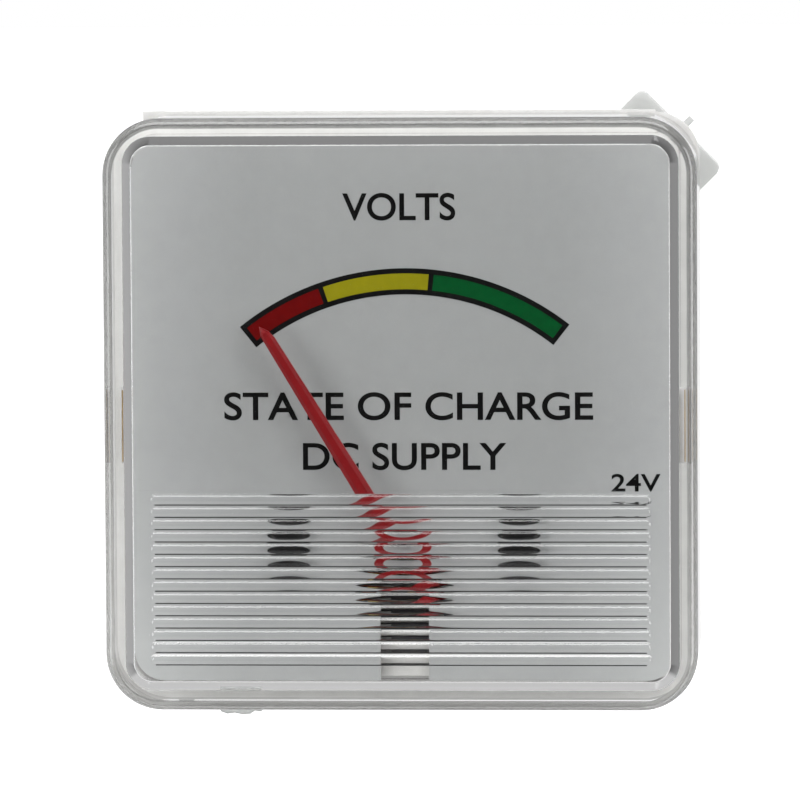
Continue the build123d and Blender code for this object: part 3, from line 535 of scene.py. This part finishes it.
NODE_MATERIALS = {
    "base_housing": case_mat,
    "dial_plate": dial_mat,
    "movement_frame": phenolic_mat,
    "front_bridge": phenolic_mat,
    "rear_bridge": phenolic_mat,
    "frame_screws": zinc_plate,
    "bridge_screws": zinc_plate,
    "dial_screws": black_mat,
    "front_jewel_screw": brass_mat,
    "rear_jewel_screw": brass_mat,
    "yoke_ring": steel_mat,
    "core_magnet": magnet_mat,
    "front_core_bracket": zinc_mat,
    "rear_core_bracket": zinc_mat,
    "coil_former": former_mat,
    "coil_winding": copper_mat,
    "front_staff": zinc_plate,
    "rear_staff": zinc_plate,
    "balance_weights": brass_mat,
    "front_hairspring": bronze_mat,
    "rear_hairspring": bronze_mat,
    "zero_arm": bronze_mat,
    "circuit_board": board_mat,
    "series_resistor": resistor_mat,
    "zener_diode": diode_mat,
    "movement_leads": wire_mat,
    "fixing_studs": zinc_plate,
    "terminal_studs": brass_mat,
    "terminal_washers": brass_mat,
    "terminal_nuts": brass_mat,
    "solder_tags": tin_mat,
    "fixing_nuts": nylon_mat,
    "front_cover": cover_mat,
    "pointer": pointer_mat,
}
for node_name, node_material in NODE_MATERIALS.items():
    cad_mesh = frame["nodes"][node_name].data
    cad_mesh.materials.clear()
    cad_mesh.materials.append(node_material)


# ---- Cover --------------------------------------------------------------------------------

def rib_drop(reach):
    """How far a rib's surface lies behind its crest at a distance from its centre line."""
    return RIB_R - math.sqrt(RIB_R**2 - reach**2)


def rib_outline(z, reach):
    """A stadium round a rib's centre line, reach away from it, at its height on the rib."""
    height = RIB_HEIGHT - rib_drop(reach)
    ends = []
    for side in (1, -1):
        for step in range(RIB_END_STEPS + 1):
            angle = math.radians(180 * step / RIB_END_STEPS - 90)
            ends.append((
                side * (RIB_STRAIGHT + reach * math.cos(angle)),
                FRONT_Y - height,
                z + side * reach * math.sin(angle),
            ))
    return ends


def cover_mesh():
    """The whole cover as one closed surface: outer shell, ribbed face, cavity and window back."""
    loops = [rounded_loop(HALF, CORNER_R, REAR_Y)]
    for step in range(EDGE_STEPS + 1):
        angle = math.radians(90 * step / EDGE_STEPS)
        inset = EDGE_R * (1 - math.cos(angle))
        y = FRONT_Y + EDGE_R * (1 - math.sin(angle))
        loops.append(rounded_loop(HALF - inset, CORNER_R - inset, y))
    outer_verts, outer_faces = skin(loops)
    cavity = HALF - WALL
    window_back = FRONT_Y + WINDOW_T
    loops = [rounded_loop(HALF, CORNER_R, REAR_Y), rounded_loop(cavity, CAVITY_R, REAR_Y)]
    loops.append(rounded_loop(cavity, CAVITY_R, window_back + CAVITY_CHAMFER))
    # the chamfer runs into the window through a small radius
    for step in range(FOOT_STEPS + 1):
        angle = math.radians(45 * (1 - step / FOOT_STEPS))
        inset = CAVITY_CHAMFER + CHAMFER_FOOT - CHAMFER_FOOT_R * math.sin(angle)
        y = window_back + CHAMFER_FOOT_R * (1 - math.cos(angle))
        loops.append(rounded_loop(cavity - inset, CAVITY_R - inset, y))
    inner_verts, inner_faces = skin(loops)

    bm = bmesh.new()

    def add(verts, faces):
        made = [bm.verts.new(Vector(v) * MM) for v in verts]
        for face in faces:
            bm.faces.new([made[index] for index in face])

    add(outer_verts, outer_faces)
    add(inner_verts, inner_faces)
    # the ribs, each from its outline in to its centre line, in even steps of slope
    steepest = math.asin(RIB_HALF / RIB_R)
    reaches = [RIB_R * math.sin(steepest * (1 - step / RIB_STEPS)) for step in range(RIB_STEPS + 1)]
    for rib in range(RIB_COUNT):
        z = RIB_TOP_Z - RIB_PITCH * rib
        add(*skin([rib_outline(z, reach) for reach in reaches]))
    bmesh.ops.remove_doubles(bm, verts=bm.verts, dist=WELD)

    # the flat of the window round the ribs
    def in_front_plane(edge):
        return all(abs(v.co.y / MM - FRONT_Y) < 1e-3 for v in edge.verts)

    face_edges = [e for e in bm.edges if e.is_boundary and in_front_plane(e)]
    bmesh.ops.triangle_fill(bm, use_beauty=True, use_dissolve=False, edges=face_edges, normal=(0, -1, 0))

    # the window's inner face, with its lower part a little thicker
    foot = CAVITY_CHAMFER + CHAMFER_FOOT
    rim = rounded_loop(cavity - foot, CAVITY_R - foot, window_back)
    # the rim starts at the top right and runs to the top left, then down and round
    below = [index for index, point in enumerate(rim) if point[2] < STEP_Z]
    first, last = below[0], below[-1]
    step_left = (foot - cavity, window_back, STEP_Z)
    step_right = (cavity - foot, window_back, STEP_Z)
    upper_face = rim[:first] + [step_left, step_right] + rim[last + 1:]
    lower_rim = [step_left] + rim[first:last + 1] + [step_right]
    raised = [(x, y + STEP_T, z) for x, y, z in lower_rim]
    add(upper_face, [tuple(range(len(upper_face)))])
    add(raised, [tuple(range(len(raised)))])
    count = len(lower_rim)
    wall = lower_rim + raised
    add(wall, [(i, (i + 1) % count, count + (i + 1) % count, count + i) for i in range(count)])
    bmesh.ops.remove_doubles(bm, verts=bm.verts, dist=WELD)
    # the two corners of the step stand on the rim's side edges: split those edges there
    for corner in (step_left, step_right):
        at = Vector(corner) * MM
        vert = min(bm.verts, key=lambda v: (v.co - at).length)
        for edge in [e for e in bm.edges if e.is_boundary]:
            a, b = edge.verts
            if vert in (a, b):
                continue
            length = (b.co - a.co).length
            if abs((vert.co - a.co).length + (b.co - vert.co).length - length) < 1e-9:
                _, made = bmesh.utils.edge_split(edge, a, (vert.co - a.co).length / length)
                bmesh.ops.pointmerge(bm, verts=[vert, made], merge_co=vert.co)
                break
    bmesh.ops.recalc_face_normals(bm, faces=bm.faces)
    mesh = bpy.data.meshes.new("cover")
    bm.to_mesh(mesh)
    bm.free()
    return mesh


cover = put("cover_shell", cover_mesh(), cover_mat, node="front_cover", flat_angle=18)
# light passes the clear cover, so it throws no shadow
cover.visible_shadow = False

# beads of old glue at the latch places in the side walls
glue_beads = []
for side in (-1, 1):
    bead = circle(GLUE_WIDTH / 2, (side * GLUE_X, GLUE_Z + GLUE_HALF_LENGTH), 0, 180, 12)
    bead += circle(GLUE_WIDTH / 2, (side * GLUE_X, GLUE_Z - GLUE_HALF_LENGTH), 180, 180, 12)
    glue_beads.append(plate([bead], GLUE_FRONT_Y, GLUE_FRONT_Y + GLUE_T, SMALL_BEVEL))
put("latch_glue", join(glue_beads), glue_mat)

# what is left of the moulding gate on the underside: a torn, uneven stub
put("gate_stub", plate([GATE_OUTLINE], *GATE_Y, SMALL_BEVEL), gate_mat)

# a tab of the dial's metal, bent back behind the foot of its slot; its paint is paler than the dial's,
# painted light for the shade it lies in
tab_ends = [[(x, y, z) for y, z in TAB_SECTION] for x in (-TAB_HALF, TAB_HALF)]
put("slot_tab", mesh_from(*skin(tab_ends, True)), tab_painted_light_mat)

# the pale seat that shows through the cover's side walls; its paint is paler than the case plastic,
# painted light for the light the clear walls carry onto it
seat_outline = [(x, z) for x, y, z in rounded_loop(HALF - SEAT_INSET, CORNER_R - SEAT_INSET, 0)]
seat_hole = [(x, z) for x, y, z in rounded_loop(HALF - WALL + SEAT_OVERLAP, CAVITY_R, 0)]
put("cover_seat", plate([seat_outline, seat_hole], *SEAT_Y), seat_painted_light_mat)


def groove_mesh():
    """A dark line of painted shade along the foot of every rib, on its lower side."""
    outer, inner = RIB_HALF + GROOVE_PAST, RIB_HALF - GROOVE_WIDTH
    bars = []
    for rib in range(RIB_COUNT):
        z = RIB_TOP_Z - RIB_PITCH * rib
        section = []
        for reach, skin_t in ((outer, 0), (inner, 0), (inner, GROOVE_SKIN), (outer, GROOVE_SKIN)):
            y = FRONT_Y - RIB_HEIGHT + rib_drop(min(reach, RIB_HALF)) - skin_t + GROOVE_LIFT
            section.append((y, z - reach))
        ends = [[(x, y, height) for y, height in section] for x in (-RIB_STRAIGHT, RIB_STRAIGHT)]
        bars.append(mesh_from(*skin(ends, True)))
    return join(bars)


# the painted shade at the foot of the ribs
put("rib_groove_lines", groove_mesh(), groove_shade_mat)


# ---- Threads on the studs ------------------------------------------------------------------

def stud_mesh(centre, head_outline, head_t, thread, span, nut_span):
    """A headed stud along Y with a screw thread; inside its nut it is drawn at the root."""
    crest_r, root_r, pitch = thread
    head_y, end_y = span
    start_y = head_y + head_t
    rows = round((end_y - start_y) / pitch * THREAD_ROWS)
    loops = [[(centre[0], start_y, centre[1])] * THREAD_STEPS]
    for row in range(rows + 1):
        y = start_y + (end_y - start_y) * row / rows
        ring = []
        for step in range(THREAD_STEPS):
            turn = step / THREAD_STEPS
            phase = ((y - start_y) / pitch - turn) % 1
            ridge = min(1, THREAD_FLATNESS * (1 - abs(2 * phase - 1)))
            radius = root_r + (crest_r - root_r) * ridge
            if nut_span[0] - NUT_MARGIN < y < nut_span[1] + NUT_MARGIN:
                radius = root_r
            # the end is chamfered
            radius = min(radius, root_r - THREAD_END_CUT + (end_y - y))
            angle = 2 * math.pi * turn
            ring.append((centre[0] + radius * math.cos(angle), y, centre[1] + radius * math.sin(angle)))
        loops.append(ring)
    loops.append([(centre[0], end_y, centre[1])] * THREAD_STEPS)
    outline = [(centre[0] + x, centre[1] + z) for x, z in head_outline]
    return join([mesh_from(*skin(loops)), plate([outline], head_y, start_y, HEAD_BEVEL)])


studs_lo, studs_hi = (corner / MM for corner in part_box("fixing_studs"))
nuts_lo, nuts_hi = (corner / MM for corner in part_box("fixing_nuts"))
stud_at = studs_hi.x - STUD_HEAD_R
studs = [
    stud_mesh(
        (side * stud_at, side * stud_at), circle(STUD_HEAD_R, count=40), STUD_HEAD_T,
        STUD_THREAD, (studs_lo.y, studs_hi.y), (nuts_lo.y, nuts_hi.y),
    )
    for side in (-1, 1)
]
put("threaded_studs", join(studs), zinc_plate, node="fixing_studs", flat_angle=24)

terminals_lo, terminals_hi = (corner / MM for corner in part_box("terminal_studs"))
terminal_nuts_lo, terminal_nuts_hi = (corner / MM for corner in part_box("terminal_nuts"))
terminal_x = terminals_hi.x - TERMINAL_HEAD_R
terminal_z = (terminals_lo.z + terminals_hi.z) / 2
terminals = [
    stud_mesh(
        (side * terminal_x, terminal_z), circle(TERMINAL_HEAD_R, count=6), TERMINAL_HEAD_T,
        TERMINAL_THREAD, (terminals_lo.y, terminals_hi.y), (terminal_nuts_lo.y, terminal_nuts_hi.y),
    )
    for side in (-1, 1)
]
put("threaded_terminals", join(terminals), brass_mat, node="terminal_studs", flat_angle=24)


# ---- Dial print ---------------------------------------------------------------------------

def band(inner, outer, start, end, count=48):
    """A sector of a ring about the scale's centre; angles run clockwise from straight up."""
    centre = (ARC_X, ARC_Z)
    there = circle(outer, centre, 90 - start, start - end, count)
    back = circle(inner, centre, 90 - end, end - start, count)
    return [there + back]


print_y = dial_lo.y
half_line = math.degrees(ARC_LINE / 2 / ARC_OUT)
line_angle = math.degrees(ARC_LINE / ARC_OUT)
put(
    "scale_outline",
    plate(band(ARC_IN, ARC_OUT, ARC_START, ARC_END), print_y - INK, print_y),
    ink_mat,
)
SECTORS = (
    ("scale_red", ARC_START + line_angle, ARC_RED_END - half_line, red_ink),
    ("scale_yellow", ARC_RED_END + half_line, ARC_YELLOW_END - half_line, yellow_ink),
    ("scale_green", ARC_YELLOW_END + half_line, ARC_END - line_angle, green_ink),
)
for sector_name, start, end, ink in SECTORS:
    sector = band(ARC_IN + ARC_LINE, ARC_OUT - ARC_LINE, start, end)
    put(sector_name, plate(sector, print_y - 1.6 * INK, print_y - 0.5 * INK), ink)


def legend(name, text, x, z, cap_height, width):
    """A line of generic lettering, centred on (x, z) and scaled to its height and width."""
    curve = bpy.data.curves.new(name, "FONT")
    curve.body = text
    curve.extrude = INK / 2 * MM
    curve.size = 1.0
    curve.offset = LETTER_WEIGHT
    mesh = mesh_of_curve(curve)
    xs = [v.co.x for v in mesh.vertices]
    ys = [v.co.y for v in mesh.vertices]
    scale_x = width * MM / (max(xs) - min(xs))
    scale_y = cap_height * MM / (max(ys) - min(ys))
    mesh.transform(Matrix.Translation((-(max(xs) + min(xs)) / 2, -(max(ys) + min(ys)) / 2, 0)))
    mesh.transform(Matrix.Diagonal((scale_x, scale_y, 1, 1)))
    mesh.transform(Matrix.Rotation(math.radians(90), 4, "X"))
    mesh.transform(Matrix.Translation((x * MM, (print_y - INK / 2) * MM, z * MM)))
    return put(name, mesh, ink_mat)


for legend_values in LEGENDS:
    legend(*legend_values)


# ---- Pointer ------------------------------------------------------------------------------

pointer_lo, pointer_hi = (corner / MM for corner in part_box("pointer"))
NEEDLE_Y = pointer_lo.y
ARM_BACK_Y = pointer_hi.y


def needle_mesh():
    """The tapering needle, with a ridge along it and a spear tip that leans to one side."""
    back = NEEDLE_Y + NEEDLE_T
    shoulder = back - NEEDLE_T * SHOULDER_SHARE
    loops = []
    for along, half, lean in NEEDLE_SECTIONS:
        ridge = half * RIDGE_SHARE
        loops.append([
            (lean - half, back, along),
            (lean - half, shoulder, along),
            (lean - ridge, NEEDLE_Y, along),
            (lean + ridge, NEEDLE_Y, along),
            (lean + half, shoulder, along),
            (lean + half, back, along),
        ])
    corners = len(loops[0])
    loops.append([(NEEDLE_TIP[0], back - NEEDLE_T * TIP_SHARE, NEEDLE_TIP[1])] * corners)
    verts, faces = skin(loops)
    faces.append(tuple(range(corners)))
    mesh = mesh_from(verts, faces)
    mesh.transform(POINTER_TURN)
    return mesh


def rectangle(half, low, high):
    """The outline of a bar about the pointer's axis, from one height to another."""
    return [(-half, low), (half, low), (half, high), (-half, high)]


needle_span = (NEEDLE_Y, NEEDLE_Y + NEEDLE_T)
arm_span = (ARM_BACK_Y - ARM_T, ARM_BACK_Y)
post_span = (NEEDLE_Y + POST_STEP, ARM_BACK_Y)
# outlines, front and back, and rounding of the ring, neck, post, arm, hub and cross arm
POINTER_PLATES = (
    ([circle(RING_R, count=72), circle(RING_HOLE, count=64)], needle_span, RING_BEVEL),
    ([rectangle(NECK_HALF, -NECK_OUT, -NECK_TOP)], needle_span, NECK_BEVEL),
    ([rectangle(NECK_HALF, -NECK_OUT, -NECK_IN)], post_span, ARM_BEVEL),
    ([ARM_OUTLINE], arm_span, ARM_BEVEL),
    ([circle(HUB_R, count=40), circle(HUB_HOLE, count=24)], arm_span, HUB_BEVEL),
    ([rectangle(CROSS_HALF_LENGTH, -CROSS_HALF, CROSS_HALF)], arm_span, HUB_BEVEL),
)
pointer_parts = [needle_mesh()]
for outlines, (front_y, back_y), bevel in POINTER_PLATES:
    pointer_parts.append(plate(outlines, front_y, back_y, bevel, POINTER_TURN))
pointer_mesh = join(pointer_parts)
put("pointer_needle", pointer_mesh, pointer_mat, body="moving_coil", node="pointer")


# ---- Stage, light and camera --------------------------------------------------------------

scene = bpy.context.scene
scene.view_settings.view_transform = "Standard"

floor_z = cad_box[0].z / MM - FLOOR_DROP
floor_corners = [(sx * FLOOR_HALF, sy * FLOOR_HALF, floor_z) for sx, sy in FLOOR_SIGNS]
floor_mesh = mesh_from(floor_corners, [(0, 1, 2, 3)])
floor = bpy.data.objects.new("floor", floor_mesh)
scene.collection.objects.link(floor)
floor_mat = bpy.data.materials.new("floor")
floor_mat.use_nodes = True
floor_shader = floor_mat.node_tree.nodes["Principled BSDF"]
floor_shader.inputs["Base Color"].default_value = (0.9, 0.9, 0.9, 1)
floor_shader.inputs["Roughness"].default_value = 0.9
floor_shader.inputs["Emission Color"].default_value = (1, 1, 1, 1)
floor_shader.inputs["Emission Strength"].default_value = 1.0
floor_mesh.materials.append(floor_mat)
floor.visible_glossy = False
floor.visible_transmission = False
floor.visible_diffuse = False

world = bpy.data.worlds.new("studio")
scene.world = world
world.use_nodes = True
studio = world.node_tree
direction = studio.nodes.new("ShaderNodeTexCoord")
split_direction = studio.nodes.new("ShaderNodeSeparateXYZ")
studio.links.new(direction.outputs["Generated"], split_direction.inputs["Vector"])
surroundings = None
for axis, (start, end), (low, high) in WORLD_RAMPS:
    rise = map_range(studio, split_direction.outputs[axis], start, end, low, high)
    surroundings = combine(studio, "MAXIMUM", rise, surroundings) if surroundings else rise
# the camera sees a plain pale background
path = studio.nodes.new("ShaderNodeLightPath")
seen = studio.nodes.new("ShaderNodeMix")
seen.data_type = "FLOAT"
studio.links.new(path.outputs["Is Camera Ray"], seen.inputs["Factor"])
studio.links.new(surroundings, seen.inputs["A"])
seen.inputs["B"].default_value = 1.0
background = studio.nodes["Background"]
studio.links.new(seen.outputs["Result"], background.inputs["Strength"])
background.inputs["Color"].default_value = (1, 1, 1, 1)


def direction_to(azimuth, elevation):
    """The unit vector from the object towards an azimuth and an elevation in degrees."""
    a, e = math.radians(azimuth), math.radians(elevation)
    return Vector((math.sin(a) * math.cos(e), -math.cos(a) * math.cos(e), math.sin(e)))


def softbox(name, azimuth, elevation, distance, size, radiance):
    """A rectangular area light that faces the object from an azimuth and an elevation."""
    light = bpy.data.lights.new(name, "AREA")
    light.shape = "RECTANGLE"
    light.size, light.size_y = size
    light.energy = radiance * math.pi * size[0] * size[1]
    obj = bpy.data.objects.new(name, light)
    scene.collection.objects.link(obj)
    obj.location = direction_to(azimuth, elevation) * distance
    obj.rotation_euler = (-obj.location).to_track_quat("-Z", "Y").to_euler()


for box_name, *box_values in SOFTBOXES:
    softbox(box_name, *box_values)

camera_data = bpy.data.cameras.new("camera")
camera = bpy.data.objects.new("camera", camera_data)
scene.collection.objects.link(camera)
scene.camera = camera
camera_data.sensor_width = SENSOR
camera_data.lens = SENSOR * CAMERA_DISTANCE / VIEW_WIDTH
back = direction_to(CAMERA_AZIMUTH, CAMERA_ELEVATION)
aim = Vector((CAMERA_AIM_X, FRONT_Y, CAMERA_AIM_Z)) * MM
roll = Matrix.Rotation(math.radians(-CAMERA_ROLL), 3, "Z").to_quaternion()
camera.rotation_mode = "QUATERNION"
camera.location = aim + back * CAMERA_DISTANCE * MM
camera.rotation_quaternion = (-back).to_track_quat("-Z", "Y") @ roll
camera_data.clip_start, camera_data.clip_end = CAMERA_CLIP
